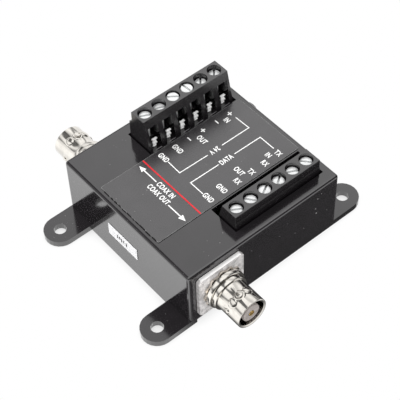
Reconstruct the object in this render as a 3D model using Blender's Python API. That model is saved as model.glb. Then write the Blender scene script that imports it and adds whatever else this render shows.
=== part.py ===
"""Surge protector box for one coaxial line, a data pair and a low-voltage supply.

A cast box with four mounting tabs carries a coaxial jack on each of two opposite
walls and two rows of screw terminals in its lid. All lengths are in metres. The
origin is the centre of the footprint on the mounting plane, +Z is up, +X runs along
the terminal rows and -Y is the wall of the front jack.
"""

import math

import bmesh
import bpy
from mathutils import Matrix, Vector

# Clearances
SEAT = 0.0001
RUNNING = 0.0002
INSERT = 0.0003

# Base plate, its screws and their bosses
WALL = 0.0020
BASE_THICK = 0.0012
BASE_RECESS = 0.0018
BASE_TOP_Z = BASE_RECESS + BASE_THICK
BASE_SCREW_D = 0.0026
BASE_SCREW_LENGTH = 0.0070
BASE_SCREW_HEAD_D = 0.0048
BASE_SCREW_HEAD_Z = 0.0011
DRIVE_WIDTH = BASE_SCREW_HEAD_D / 2
DRIVE_DEPTH = BASE_SCREW_HEAD_Z / 2
DRIVE_ARM = DRIVE_WIDTH / 4
BOSS_WALL = 0.0014
BOSS_D = BASE_SCREW_D + 2 * BOSS_WALL
BOSS_INSET = 0.0048
BOSS_Y = 0.0050

# Coaxial jacks: distances are from the wall's outer face, outwards
FLANGE_SIDE = 0.0154
FLANGE_THICK = 0.00125
FLANGE_CORNER = 0.0009
NOTCH_HEIGHT = 0.0013
SHELL_REAR_D = 0.0092
SHELL_REAR_LENGTH = 0.0078
WASHER_RIM = 0.0019
WASHER_THICK = 0.0006
WASHER_TEETH = 12
WASHER_TOOTH = 0.0007
NUT_RIM = 0.0015
NUT_THICK = 0.0016
NUT_EDGE = 0.0003
BORE_D = 0.0082
BORE_DEPTH = 0.0090
BARREL_WALL = 0.0007
BARREL_D = BORE_D + 2 * BARREL_WALL
BARREL_END = 0.01355
SHELL_COLLAR = 0.0007
SHELL_STEP_END = 0.0052
SHELL_EDGE = 0.00025
LUG_D = 0.0020
LUG_HEIGHT = 0.00075
LUG_EDGE = 0.00025
LUG_FROM_MOUTH = 0.0042
LUG_AT_Z = BARREL_END - LUG_FROM_MOUTH
DENT_D = 0.0018
DENT_DEPTH = 0.00025
DENT_STEPS = 12
DENT_TURN = math.radians(33)
JACK_ROLL = math.radians(10)
INSULATOR_D = 0.0052
INSULATOR_FROM_MOUTH = 0.0008
INSULATOR_END = BARREL_END - INSULATOR_FROM_MOUTH
CONTACT_D = 0.0018
CONTACT_BORE_D = 0.0011
CONTACT_BORE_DEPTH = 0.0045
CONTACT_SLOT = 0.0003
CONTACT_SLOT_DEPTH = 0.0030
CONTACT_TAIL_D = 0.0013
CONTACT_TAIL = 0.0030
INNER_NUT_RIM = 0.00175
INNER_NUT_ACROSS = SHELL_REAR_D + 2 * INNER_NUT_RIM
INNER_NUT_CORNER = INNER_NUT_ACROSS / 2 / math.cos(math.pi / 6)
INNER_NUT_THICK = 0.0022
TURNED_STEPS = 28

# Terminal rows: lengths along X
POLES = 6
PITCH = 0.0050
END_WALL = 0.00015
ROW_LENGTH = POLES * PITCH + 2 * END_WALL
ROW_END_GAP = 0.00145

# Box: wide enough for a jack beside the rows, and high enough for it under the lid
JACK_SIDE_GAP = 0.00077
JACK_ROW_GAP = 0.002415
JACK_BASE_GAP = 0.0022
JACK_LID_GAP = 0.0016
BOX_X = 2 * WALL + JACK_SIDE_GAP + 2 * INNER_NUT_CORNER + JACK_ROW_GAP + ROW_LENGTH + ROW_END_GAP
BOX_Y = 0.0536
BOX_Z = BASE_TOP_Z + JACK_BASE_GAP + INNER_NUT_ACROSS + JACK_LID_GAP + WALL
LID_UNDER_Z = BOX_Z - WALL
EDGE_RADIUS = 0.0008
EDGE_STEPS = 3
JACK_X = -BOX_X / 2 + WALL + JACK_SIDE_GAP + INNER_NUT_CORNER
JACK_Z = BASE_TOP_Z + JACK_BASE_GAP + INNER_NUT_ACROSS / 2
ROW_X = BOX_X / 2 - WALL - ROW_END_GAP - ROW_LENGTH / 2

# Mounting tabs, flush with the front and rear walls
TAB_THICK = 0.0020
TAB_WIDTH = 0.0096
TAB_HOLE_OUT = 0.00755
TAB_HOLE_D = 0.0037
TAB_END_STEPS = 12

# Circuit board, hung from two posts under the lid, just above the jacks' tails
BOARD_THICK = 0.0016
BOARD_TAIL_GAP = 0.0004
BOARD_BOTTOM_Z = JACK_Z + CONTACT_TAIL_D / 2 + BOARD_TAIL_GAP
BOARD_TOP_Z = BOARD_BOTTOM_Z + BOARD_THICK
BOARD_EDGE_GAP = 0.0010
BOARD_SCREW_D = 0.0023
BOARD_SCREW_LENGTH = 0.0050
BOARD_SCREW_HEAD_D = 0.0044
BOARD_SCREW_HEAD_Z = 0.0014
BOARD_SCREW_CROWN_D = 0.0033
POST_WALL = 0.00185
POST_D = BOARD_SCREW_D + 2 * POST_WALL
POST_X = 0.0120
HOUSING_BOTTOM_Z = BOARD_TOP_Z + SEAT

# Screws, plates and contact strips of the terminals
TERMINAL_SCREW_D = 0.0036
TERMINAL_SHANK_D = 0.0022
TERMINAL_PIN_D = 0.0010
TERMINAL_HEAD_Z = 0.0016
TERMINAL_HEAD_EDGE = 0.00025
SLOT_WIDTH = 0.0007
SLOT_DEPTH = 0.0009
SCREW_OPEN_DEPTH = 0.0003
SCREW_TRAVEL = 0.0024
WELL_GAP = 0.00025
CAVITY_WIDTH = 0.0034
PLATE_THICK = 0.0006
PLATE_DEPTH = 0.0038
PLATE_OPEN_Z = 0.0038
CONTACT_THICK = 0.0004
GUARD_HEIGHT = 0.0020
PIN_SIDE = 0.0008
PIN_BELOW_BOARD = 0.0016
WELL_STEPS = 16

# Terminal housings: distances along Y are from the screws' axes, heights from the lid
TOP_DEPTH = 0.0054
REAR_WALL_GAP = 0.0025
REAR_BACK_OUT = 0.0039
REAR_ENTRY_OUT = 0.0051
REAR_SHOULDER_Z = 0.0060
REAR_HEIGHT = 0.0104
REAR_CAVITY_BELOW_TOP = 0.0028
REAR_CAVITY_HEIGHT = 0.0081
FRONT_WALL_GAP = 0.0021
FRONT_BACK_OUT = 0.0029
FRONT_ENTRY_OUT = 0.0041
FRONT_SHOULDER_Z = 0.0020
FRONT_HEIGHT = 0.0051
FRONT_CAVITY_BELOW_TOP = 0.0018
FRONT_CAVITY_HEIGHT = 0.0041

# Gaps round the housings in the lid's cut-outs
LID_GAP_LEFT = 0.00035
LID_GAP_RIGHT = 0.00095
REAR_LID_GAP_ENTRY = 0.0003
REAR_LID_GAP_BACK = 0.0008
FRONT_LID_GAP_ENTRY = 0.0027
FRONT_LID_GAP_BACK = 0.0004

# How far each terminal screw is turned in, from open, and the angle of its slot
REAR_SCREW_DEPTHS = (0.0007, 0.0011, 0.0001, 0.0001, 0.0012, 0.0012)
FRONT_SCREW_DEPTHS = (0.0007, 0.0007, 0.0006, 0.0008, 0.0008, 0.0006)
REAR_SLOT_DEGREES = (153, 156, 143, 94, 51, 50)
FRONT_SLOT_DEGREES = (148, 126, 30, 37, 152, 131)

# Label between the cut-outs, and sticker on the left wall
LABEL_MARGIN_X = 0.00175
LABEL_GAP_Y = 0.0005
LABEL_THICK = 0.0002
STICKER_Y = 0.0127
STICKER_Z = 0.0044
STICKER_AT_Y = 0.0016
STICKER_AT_Z = 0.0100
STICKER_THICK = 0.00015

# Protection parts under the board, in rows outwards from the board's screws
PART_GAP = 0.0005
GAS_TUBE_D = 0.0055
GAS_TUBE_LENGTH = 0.0060
GAS_TUBE_RIM = 0.0008
VARISTOR_D = 0.0070
VARISTOR_THICK = 0.0036
VARISTOR_EDGE = 0.0009
DIODES = 4
DIODE_SIZE = (0.0036, 0.0056, 0.0023)
FUSES = 2
FUSE_SIZE = (0.0075, 0.0026, 0.0056)
FUSE_PITCH = 2 * PITCH
MOULDED_EDGE = 0.0004
FIRST_ROW_Y = BOARD_SCREW_HEAD_D / 2 + PART_GAP
GAS_TUBE_Y = FIRST_ROW_Y + GAS_TUBE_D / 2
VARISTOR_Y = FIRST_ROW_Y + VARISTOR_D / 2
DIODE_Y = GAS_TUBE_Y + GAS_TUBE_D / 2 + PART_GAP + DIODE_SIZE[1] / 2
FUSE_Y = VARISTOR_Y + VARISTOR_D / 2 + PART_GAP + FUSE_SIZE[1] / 2


class Row:
    """One terminal row; toward is the direction of its wire entries along Y."""

    def __init__(self, name, toward, outs, heights, cavity, lid_gaps):
        wall_gap, back_out, entry_out = outs
        entry_gap, back_gap = lid_gaps
        shoulder, height = heights
        self.name = name
        self.toward = toward
        self.y = -toward * (BOX_Y / 2 - WALL - wall_gap - back_out)
        self.back_y = self.y - toward * back_out
        self.entry_y = self.y + toward * entry_out
        self.top_front_y = self.y + toward * TOP_DEPTH / 2
        self.top_back_y = self.y - toward * TOP_DEPTH / 2
        self.lid_entry_y = self.entry_y + toward * entry_gap
        self.lid_back_y = self.back_y - toward * back_gap
        self.shoulder_z = BOX_Z + shoulder
        self.top_z = BOX_Z + height
        self.ceiling_z = self.top_z - cavity[0]
        self.floor_z = self.ceiling_z - cavity[1]


REAR_ROW = Row(
    "rear",
    -1,
    (REAR_WALL_GAP, REAR_BACK_OUT, REAR_ENTRY_OUT),
    (REAR_SHOULDER_Z, REAR_HEIGHT),
    (REAR_CAVITY_BELOW_TOP, REAR_CAVITY_HEIGHT),
    (REAR_LID_GAP_ENTRY, REAR_LID_GAP_BACK),
)
FRONT_ROW = Row(
    "front",
    1,
    (FRONT_WALL_GAP, FRONT_BACK_OUT, FRONT_ENTRY_OUT),
    (FRONT_SHOULDER_Z, FRONT_HEIGHT),
    (FRONT_CAVITY_BELOW_TOP, FRONT_CAVITY_HEIGHT),
    (FRONT_LID_GAP_ENTRY, FRONT_LID_GAP_BACK),
)


def clear_scene():
    for item in list(bpy.data.objects):
        bpy.data.objects.remove(item, do_unlink=True)


def material(name, color, roughness, metallic=0.0):
    made = bpy.data.materials.new(name)
    made.use_nodes = True
    made.diffuse_color = (*color, 1.0)
    shader = made.node_tree.nodes["Principled BSDF"]
    shader.inputs["Base Color"].default_value = (*color, 1.0)
    shader.inputs["Roughness"].default_value = roughness
    shader.inputs["Metallic"].default_value = metallic
    return made


def place(name, shape, finish=None, location=(0, 0, 0), rotation=(0, 0, 0)):
    """An object from a bmesh. Without a finish it is a cutter or an added form."""
    mesh = bpy.data.meshes.new(name)
    bmesh.ops.recalc_face_normals(shape, faces=shape.faces)
    shape.to_mesh(mesh)
    shape.free()
    item = bpy.data.objects.new(name, mesh)
    bpy.context.scene.collection.objects.link(item)
    item.location = location
    item.rotation_euler = rotation
    if finish is None:
        item.hide_render = True
        item.display_type = "WIRE"
    else:
        mesh.materials.append(finish)
        mesh.shade_smooth()
        mesh.set_sharp_from_angle(angle=math.radians(30))
    return item


def combine(target, operation, other):
    step = target.modifiers.new(f"{operation} {other.name}", "BOOLEAN")
    step.operation = operation
    step.object = other
    step.solver = "EXACT"


def combine_all(target, operation, others, title):
    """One Boolean with a group of forms, which may overlap each other."""
    group = bpy.data.collections.new(title)
    for other in others:
        group.objects.link(other)
    step = target.modifiers.new(title, "BOOLEAN")
    step.operation = operation
    step.operand_type = "COLLECTION"
    step.collection = group
    step.solver = "EXACT"


def block(low, high):
    """A box between two corners."""
    low = Vector(low)
    high = Vector(high)
    shape = bmesh.new()
    bmesh.ops.create_cube(shape, size=1)
    bmesh.ops.scale(shape, vec=high - low, verts=shape.verts)
    bmesh.ops.translate(shape, vec=(low + high) / 2, verts=shape.verts)
    return shape


def soften(shape, radius, steps, wanted):
    """Rounds the edges for which wanted(edge) is true."""
    edges = [edge for edge in shape.edges if wanted(edge)]
    bmesh.ops.bevel(
        shape, geom=edges, offset=radius, segments=steps, affect="EDGES", profile=0.5
    )
    return shape


def prism(outline, low, high):
    """An outline of (x, y) points raised along Z from low to high."""
    shape = bmesh.new()
    face = shape.faces.new([shape.verts.new((x, y, low)) for x, y in outline])
    raised = bmesh.ops.extrude_face_region(shape, geom=[face])["geom"]
    moved = [item for item in raised if isinstance(item, bmesh.types.BMVert)]
    bmesh.ops.translate(shape, vec=(0, 0, high - low), verts=moved)
    return shape


def long_prism(profile, low, high):
    """A profile of (y, z) points drawn along X from low to high."""
    shape = prism(profile, low, high)
    turn = Matrix(((0, 0, 1), (1, 0, 0), (0, 1, 0)))
    bmesh.ops.transform(shape, matrix=turn.to_4x4(), verts=shape.verts)
    return shape


def turned(profile, steps, closed=False):
    """A profile of (radius, z) points turned about Z. An open one ends on the axis."""
    shape = bmesh.new()
    points = [shape.verts.new((radius, 0, z)) for radius, z in profile]
    ends = points[1:] + points[:1] if closed else points[1:]
    edges = [shape.edges.new(pair) for pair in zip(points, ends)]
    bmesh.ops.spin(
        shape,
        geom=points + edges,
        cent=(0, 0, 0),
        axis=(0, 0, 1),
        angle=math.tau,
        steps=steps,
        use_merge=True,
    )
    bmesh.ops.remove_doubles(shape, verts=shape.verts, dist=1e-7)
    return shape


def rod(diameter, low, high, steps=WELL_STEPS):
    """A plain cylinder on Z."""
    radius = diameter / 2
    return turned([(0, low), (radius, low), (radius, high), (0, high)], steps)


def tab_outline():
    """Half a stadium that starts inside the wall and ends in a full round."""
    reach = TAB_WIDTH / 2
    start = -TAB_HOLE_OUT - WALL / 2
    outline = [(start, -reach)]
    for i in range(TAB_END_STEPS + 1):
        angle = -math.pi / 2 + math.pi * i / TAB_END_STEPS
        outline.append((reach * math.cos(angle), reach * math.sin(angle)))
    outline.append((start, reach))
    return outline


def tab_places():
    """Centre and heading of each tab's hole."""
    out = BOX_X / 2 + TAB_HOLE_OUT
    along = BOX_Y / 2 - TAB_WIDTH / 2
    return [
        (side * out, end * along, 0 if side > 0 else math.pi)
        for side in (-1, 1)
        for end in (-1, 1)
    ]


def base_screw_places():
    x = BOX_X / 2 - BOSS_INSET
    return [(side * x, end * BOSS_Y) for side in (-1, 1) for end in (-1, 1)]


def board_screw_places():
    return [(-POST_X, 0), (POST_X, 0)]


def pole_x(i):
    return ROW_X + PITCH * (i - (POLES - 1) / 2)


def make_enclosure(paint):
    """Cast shell: five walls, four tabs, bosses, and the holes that others pass through."""
    half_x = BOX_X / 2
    half_y = BOX_Y / 2
    shell = block((-half_x, -half_y, 0), (half_x, half_y, BOX_Z))
    soften(
        shell,
        EDGE_RADIUS,
        EDGE_STEPS,
        lambda edge: max(vert.co.z for vert in edge.verts) > BOX_Z / 2,
    )
    enclosure = place("enclosure", shell, paint)
    added = []
    cut = [
        place(
            "cut_cavity",
            block(
                (-half_x + WALL, -half_y + WALL, -WALL),
                (half_x - WALL, half_y - WALL, LID_UNDER_Z),
            ),
        )
    ]
    for i, (x, y) in enumerate(base_screw_places()):
        low = BASE_TOP_Z + SEAT
        added.append(
            place(f"add_boss_{i}", rod(BOSS_D, low, BOX_Z - WALL / 2), location=(x, y, 0))
        )
    for i, (x, y) in enumerate(board_screw_places()):
        low = BOARD_TOP_Z + SEAT
        added.append(
            place(f"add_post_{i}", rod(POST_D, low, BOX_Z - WALL / 2), location=(x, y, 0))
        )
    for i, (x, y, heading) in enumerate(tab_places()):
        added.append(
            place(
                f"add_tab_{i}",
                prism(tab_outline(), 0, TAB_THICK),
                location=(x, y, 0),
                rotation=(0, 0, heading),
            )
        )
    combine_all(enclosure, "DIFFERENCE", cut, "hollow")
    combine_all(enclosure, "UNION", added, "bosses and tabs")
    combine_all(enclosure, "DIFFERENCE", enclosure_holes(), "holes")
    return enclosure


def enclosure_holes():
    holes = []
    for i, (x, y, _) in enumerate(tab_places()):
        hole = rod(TAB_HOLE_D, -TAB_THICK, 2 * TAB_THICK)
        holes.append(place(f"cut_tab_{i}", hole, location=(x, y, 0)))
    for i, (x, y) in enumerate(base_screw_places()):
        hole = rod(
            BASE_SCREW_D + 2 * RUNNING,
            0,
            BASE_RECESS + BASE_SCREW_LENGTH + INSERT,
        )
        holes.append(place(f"cut_boss_{i}", hole, location=(x, y, 0)))
    for i, (x, y) in enumerate(board_screw_places()):
        hole = rod(
            BOARD_SCREW_D + 2 * RUNNING,
            BOARD_TOP_Z - INSERT,
            BOARD_BOTTOM_Z + BOARD_SCREW_LENGTH + INSERT,
        )
        holes.append(place(f"cut_post_{i}", hole, location=(x, y, 0)))
    for side in (-1, 1):
        wall_y = side * BOX_Y / 2
        hole = rod(SHELL_REAR_D + 2 * RUNNING, -2 * WALL, 2 * WALL, TURNED_STEPS)
        holes.append(
            place(
                f"cut_jack_{side}",
                hole,
                location=(JACK_X, wall_y, JACK_Z),
                rotation=(math.pi / 2, 0, 0),
            )
        )
        low_y, high_y = sorted((wall_y + side * WALL, wall_y - side * 2 * WALL))
        reach = FLANGE_SIDE / 2
        notch = block((JACK_X - reach, low_y, -WALL), (JACK_X + reach, high_y, NOTCH_HEIGHT))
        holes.append(place(f"cut_notch_{side}", notch))
    for row in (REAR_ROW, FRONT_ROW):
        y_range = sorted((row.lid_entry_y, row.lid_back_y))
        low = (ROW_X - ROW_LENGTH / 2 - LID_GAP_LEFT, y_range[0], LID_UNDER_Z - WALL)
        high = (ROW_X + ROW_LENGTH / 2 + LID_GAP_RIGHT, y_range[1], BOX_Z + WALL)
        holes.append(place(f"cut_lid_{row.name}", block(low, high)))
    return holes


def make_base_plate(paint):
    """Sheet that closes the box from below, with its screws sunk in it."""
    half_x = BOX_X / 2 - WALL - INSERT
    half_y = BOX_Y / 2 - WALL - INSERT
    plate = place(
        "base_plate",
        block((-half_x, -half_y, BASE_RECESS), (half_x, half_y, BASE_TOP_Z)),
        paint,
    )
    head = BASE_SCREW_HEAD_D / 2 + RUNNING
    shank = BASE_SCREW_D / 2 + RUNNING
    sink = [
        (0, -BASE_THICK),
        (head, -BASE_THICK),
        (head, RUNNING),
        (shank, BASE_SCREW_HEAD_Z + RUNNING),
        (shank, 2 * BASE_THICK),
        (0, 2 * BASE_THICK),
    ]
    cuts = [
        place(f"cut_sink_{i}", turned(sink, WELL_STEPS), location=(x, y, BASE_RECESS))
        for i, (x, y) in enumerate(base_screw_places())
    ]
    combine_all(plate, "DIFFERENCE", cuts, "countersinks")


def cross_recess(name, location):
    """Cutters for the two arms of a cross recess that opens downwards."""
    reach = DRIVE_WIDTH / 2
    thin = DRIVE_ARM / 2
    depth = DRIVE_DEPTH
    first = place(name, block((-reach, -thin, -depth), (reach, thin, depth)), location=location)
    second = place(
        name + "_b", block((-thin, -reach, -depth), (thin, reach, depth)), location=location
    )
    return [first, second]


def make_base_screws(steel):
    """Countersunk screws, driven up from below."""
    head = BASE_SCREW_HEAD_D / 2
    shank = BASE_SCREW_D / 2
    profile = [
        (0, 0),
        (head, 0),
        (shank, BASE_SCREW_HEAD_Z),
        (shank, BASE_SCREW_LENGTH - shank / 2),
        (shank / 2, BASE_SCREW_LENGTH),
        (0, BASE_SCREW_LENGTH),
    ]
    for i, (x, y) in enumerate(base_screw_places()):
        at = (x, y, BASE_RECESS)
        screw = place(f"base_screw_{i + 1}", turned(profile, WELL_STEPS), steel, location=at)
        cuts = cross_recess(f"cut_drive_{i}", at)
        combine_all(screw, "DIFFERENCE", cuts, "drive recess")


def make_board_screws(steel):
    """Pan-head screws that hold the board to its posts."""
    head = BOARD_SCREW_HEAD_D / 2
    shank = BOARD_SCREW_D / 2
    under = -BOARD_SCREW_HEAD_Z
    profile = [
        (0, under),
        (BOARD_SCREW_CROWN_D / 2, under),
        (head, under / 2),
        (head, -SEAT),
        (shank, -SEAT),
        (shank, BOARD_SCREW_LENGTH),
        (0, BOARD_SCREW_LENGTH),
    ]
    for i, (x, y) in enumerate(board_screw_places()):
        at = (x, y, BOARD_BOTTOM_Z)
        place(f"board_screw_{i + 1}", turned(profile, WELL_STEPS), steel, location=at)


def contact_strip(row, x):
    """Bent strip of one terminal: floor and entry guard, with its pin down to the board."""
    reach = CAVITY_WIDTH / 2 - RUNNING
    low = row.floor_z + RUNNING
    back_y = row.y - row.toward * PLATE_DEPTH / 2
    guard_y = row.y + row.toward * (PLATE_DEPTH / 2 + 2 * RUNNING)
    front_y = guard_y + row.toward * CONTACT_THICK
    profile = [
        (back_y, low),
        (front_y, low),
        (front_y, low + GUARD_HEIGHT),
        (guard_y, low + GUARD_HEIGHT),
        (guard_y, low + CONTACT_THICK),
        (back_y, low + CONTACT_THICK),
    ]
    strip = long_prism(profile, x - reach, x + reach)
    half = PIN_SIDE / 2
    pin = block(
        (x - half, row.y - half, BOARD_BOTTOM_Z - PIN_BELOW_BOARD),
        (x + half, row.y + half, low + CONTACT_THICK / 2),
    )
    return strip, pin


def make_board(laminate):
    """Board with notches for bosses and jacks, and the terminals soldered to it."""
    half_x = BOX_X / 2 - WALL - BOARD_EDGE_GAP
    half_y = BOX_Y / 2 - WALL - BOARD_EDGE_GAP
    board = place(
        "circuit_board",
        block((-half_x, -half_y, BOARD_BOTTOM_Z), (half_x, half_y, BOARD_TOP_Z)),
        laminate,
    )
    low = BOARD_BOTTOM_Z - BOARD_THICK
    high = BOARD_TOP_Z + BOARD_THICK
    cuts = []
    for i, (x, y) in enumerate(base_screw_places()):
        reach = BOSS_D / 2 + BOARD_EDGE_GAP
        x_range = sorted((x - math.copysign(reach, x), math.copysign(BOX_X / 2, x)))
        notch = block((x_range[0], y - reach, low), (x_range[1], y + reach, high))
        cuts.append(place(f"cut_board_edge_{i}", notch))
    for i, (x, y) in enumerate(board_screw_places()):
        hole = rod(BOARD_SCREW_D + 2 * RUNNING, low, high)
        cuts.append(place(f"cut_board_{i}", hole, location=(x, y, 0)))
    reach = INNER_NUT_CORNER + BOARD_EDGE_GAP
    inner = BOX_Y / 2 - SHELL_REAR_LENGTH - BOARD_EDGE_GAP
    for side in (-1, 1):
        y_range = sorted((side * inner, side * BOX_Y / 2))
        notch = block(
            (JACK_X - reach, y_range[0], low),
            (JACK_X + reach, y_range[1], high),
        )
        cuts.append(place(f"cut_board_jack_{side}", notch))
    combine_all(board, "DIFFERENCE", cuts, "notches and holes")
    added = []
    for row in (REAR_ROW, FRONT_ROW):
        for i in range(POLES):
            strip, pin = contact_strip(row, pole_x(i))
            added.append(place(f"add_strip_{row.name}_{i}", strip))
            added.append(place(f"add_pin_{row.name}_{i}", pin))
    combine_all(board, "UNION", added, "terminals")


def well_bottom_z(row):
    """Just below where the screw's head ends when it is fully turned in."""
    return row.top_z - SCREW_OPEN_DEPTH - SCREW_TRAVEL - TERMINAL_HEAD_Z - INSERT


def make_housing(row, plastic):
    """Moulded row of six poles: screw wells from the top, wire chambers from the entry side."""
    reach = ROW_LENGTH / 2
    profile = [
        (row.entry_y, HOUSING_BOTTOM_Z),
        (row.back_y, HOUSING_BOTTOM_Z),
        (row.back_y, row.shoulder_z),
        (row.top_back_y, row.shoulder_z + abs(row.back_y - row.top_back_y)),
        (row.top_back_y, row.top_z),
        (row.top_front_y, row.top_z),
        (row.entry_y, BOX_Z),
    ]
    body = long_prism(profile, ROW_X - reach, ROW_X + reach)
    housing = place(f"{row.name}_terminal_housing", body, plastic)
    cuts = []
    half_pin = PIN_SIDE / 2 + RUNNING
    y_range = sorted(
        (row.entry_y + row.toward * WALL, row.y - row.toward * (PLATE_DEPTH / 2 + RUNNING))
    )
    for i in range(POLES):
        x = pole_x(i)
        well = rod(TERMINAL_SCREW_D + 2 * WELL_GAP, well_bottom_z(row), row.top_z + WALL)
        cuts.append(place(f"cut_well_{row.name}_{i}", well, location=(x, row.y, 0)))
        slot = block(
            (x - half_pin, row.y - half_pin, HOUSING_BOTTOM_Z - WALL),
            (x + half_pin, row.y + half_pin, row.floor_z + CONTACT_THICK),
        )
        cuts.append(place(f"cut_slot_{row.name}_{i}", slot))
        chamber = block(
            (x - CAVITY_WIDTH / 2, y_range[0], row.floor_z),
            (x + CAVITY_WIDTH / 2, y_range[1], row.ceiling_z),
        )
        cuts.append(place(f"cut_chamber_{row.name}_{i}", chamber))
    combine_all(housing, "DIFFERENCE", cuts, "wells and chambers")


def make_terminals(row, depths, angles, zinc):
    """Slotted screws in their wells, each turning in the plate that it presses on the wire."""
    head = TERMINAL_SCREW_D / 2
    shank = TERMINAL_SHANK_D / 2
    pin = TERMINAL_PIN_D / 2
    plate_z = row.floor_z + PLATE_OPEN_Z
    open_z = row.top_z - SCREW_OPEN_DEPTH
    shank_end = plate_z + SEAT - open_z
    profile = [
        (0, 0),
        (head - TERMINAL_HEAD_EDGE, 0),
        (head, -TERMINAL_HEAD_EDGE),
        (head, -TERMINAL_HEAD_Z),
    ]
    if shank_end < -TERMINAL_HEAD_Z:
        profile += [(shank, -TERMINAL_HEAD_Z), (shank, shank_end)]
    low = min(shank_end, -TERMINAL_HEAD_Z)
    tip = low - SEAT - PLATE_THICK
    profile += [(pin, low), (pin, tip), (0, tip)]
    for i in range(POLES):
        x = pole_x(i)
        at = (x, row.y, open_z - depths[i])
        turn = (0, 0, math.radians(angles[i]))
        title = f"{row.name}_terminal_screw_{i + 1}"
        screw = place(title, turned(profile, WELL_STEPS), zinc, at, turn)
        slot = block((-head * 2, -SLOT_WIDTH / 2, -SLOT_DEPTH), (head * 2, SLOT_WIDTH / 2, head))
        combine(screw, "DIFFERENCE", place(f"cut_{row.name}_drive_{i}", slot, None, at, turn))
        half_x = CAVITY_WIDTH / 2 - RUNNING
        half_y = PLATE_DEPTH / 2
        plate = block((-half_x, -half_y, -PLATE_THICK), (half_x, half_y, 0))
        at = (x, row.y, open_z + low - SEAT - depths[i])
        item = place(f"{row.name}_pressure_plate_{i + 1}", plate, zinc, at)
        hole = rod(TERMINAL_PIN_D + 2 * RUNNING, -2 * PLATE_THICK, PLATE_THICK)
        combine(item, "DIFFERENCE", place(f"cut_{row.name}_plate_{i}", hole, None, at))


def make_jack(name, side, metal, dark_metal, dielectric, gold):
    """One coaxial jack with its hardware, turned about Y and facing out of its wall."""
    holder = bpy.data.objects.new(f"{name}_jack_axis", None)
    bpy.context.scene.collection.objects.link(holder)
    holder.location = (JACK_X, side * BOX_Y / 2, JACK_Z)
    holder.rotation_euler = (math.pi / 2, 0, 0 if side < 0 else math.pi)
    for item in (
        jack_flange(name, metal),
        jack_washer(name, dark_metal),
        jack_ring_nut(name, metal),
        jack_shell(name, metal),
        jack_insulator(name, dielectric),
        jack_contact(name, gold),
        jack_inner_nut(name, metal),
    ):
        item.parent = holder


def jack_flange(name, metal):
    """Square plate with cut corners."""
    reach = FLANGE_SIDE / 2
    plate = block((-reach, -reach, SEAT), (reach, reach, SEAT + FLANGE_THICK))
    soften(
        plate,
        FLANGE_CORNER,
        1,
        lambda edge: abs(edge.verts[0].co.z - edge.verts[1].co.z) > FLANGE_THICK / 2,
    )
    item = place(f"{name}_flange_plate", plate, metal)
    hole = rod(SHELL_REAR_D + 2 * RUNNING, -WALL, 2 * WALL, TURNED_STEPS)
    combine(item, "DIFFERENCE", held_cutter(f"cut_{name}_flange", hole, item))
    return item


def held_cutter(name, shape, target):
    """A cutter that follows its target's parent."""
    cutter = place(name, shape)
    cutter.parent = target
    return cutter


def jack_washer(name, metal):
    """Lock washer with teeth round its rim."""
    low = 2 * SEAT + FLANGE_THICK
    outline = []
    count = WASHER_TEETH * 4
    for i in range(count):
        angle = math.tau * i / count
        radius = SHELL_REAR_D / 2 + WASHER_RIM - (WASHER_TOOTH if i % 4 > 1 else 0)
        outline.append((radius * math.cos(angle), radius * math.sin(angle)))
    item = place(f"{name}_lock_washer", prism(outline, low, low + WASHER_THICK), metal)
    hole = rod(SHELL_REAR_D + 2 * RUNNING, 0, 3 * WALL, TURNED_STEPS)
    combine(item, "DIFFERENCE", held_cutter(f"cut_{name}_washer", hole, item))
    return item


def nut_low():
    return 3 * SEAT + FLANGE_THICK + WASHER_THICK


def shell_shoulder():
    """Where the shell's collar starts, just above the ring nut."""
    return nut_low() + NUT_THICK + SEAT


def jack_ring_nut(name, metal):
    low = nut_low()
    high = low + NUT_THICK
    outer = SHELL_REAR_D / 2 + NUT_RIM
    inner = SHELL_REAR_D / 2 + RUNNING
    profile = [
        (inner, low),
        (outer, low),
        (outer, high - NUT_EDGE),
        (outer - NUT_EDGE, high),
        (inner, high),
    ]
    return place(f"{name}_ring_nut", turned(profile, TURNED_STEPS, closed=True), metal)


def jack_shell(name, metal):
    """Turned shell: threaded rear, collar, and barrel with two lugs and two dents."""
    rear = SHELL_REAR_D / 2
    barrel = BARREL_D / 2
    step = barrel + SHELL_COLLAR
    bore = BORE_D / 2
    hold = INSULATOR_D / 2 + RUNNING
    floor = BARREL_END - BORE_DEPTH
    profile = [
        (hold, -SHELL_REAR_LENGTH),
        (rear, -SHELL_REAR_LENGTH),
        (rear, shell_shoulder()),
        (step, shell_shoulder()),
        (step, SHELL_STEP_END - SHELL_EDGE),
        (step - SHELL_EDGE, SHELL_STEP_END),
        (barrel, SHELL_STEP_END),
        (barrel, BARREL_END - SHELL_EDGE),
        (barrel - SHELL_EDGE, BARREL_END),
        (bore, BARREL_END),
        (bore, floor),
        (hold, floor),
    ]
    item = place(f"{name}_jack_shell", turned(profile, TURNED_STEPS, closed=True), metal)
    lugs = []
    dents = []
    for i in range(2):
        lug = soft_pin(LUG_D, bore + SHELL_EDGE, barrel + LUG_HEIGHT)
        roll = JACK_ROLL + i * math.pi
        lugs.append(side_form(f"add_{name}_lug_{i}", lug, item, roll))
        dent = rod(DENT_D, barrel - DENT_DEPTH, barrel + LUG_D, DENT_STEPS)
        roll = JACK_ROLL + (2 * i - 1) * DENT_TURN
        dents.append(side_form(f"cut_{name}_dent_{i}", dent, item, roll))
    combine_all(item, "UNION", lugs, "lugs")
    combine_all(item, "DIFFERENCE", dents, "dents")
    return item


def soft_pin(diameter, low, high):
    """A pin on Z with a rounded top edge."""
    radius = diameter / 2
    profile = [
        (0, low),
        (radius, low),
        (radius, high - LUG_EDGE),
        (radius - LUG_EDGE, high),
        (0, high),
    ]
    return turned(profile, WELL_STEPS)


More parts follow.
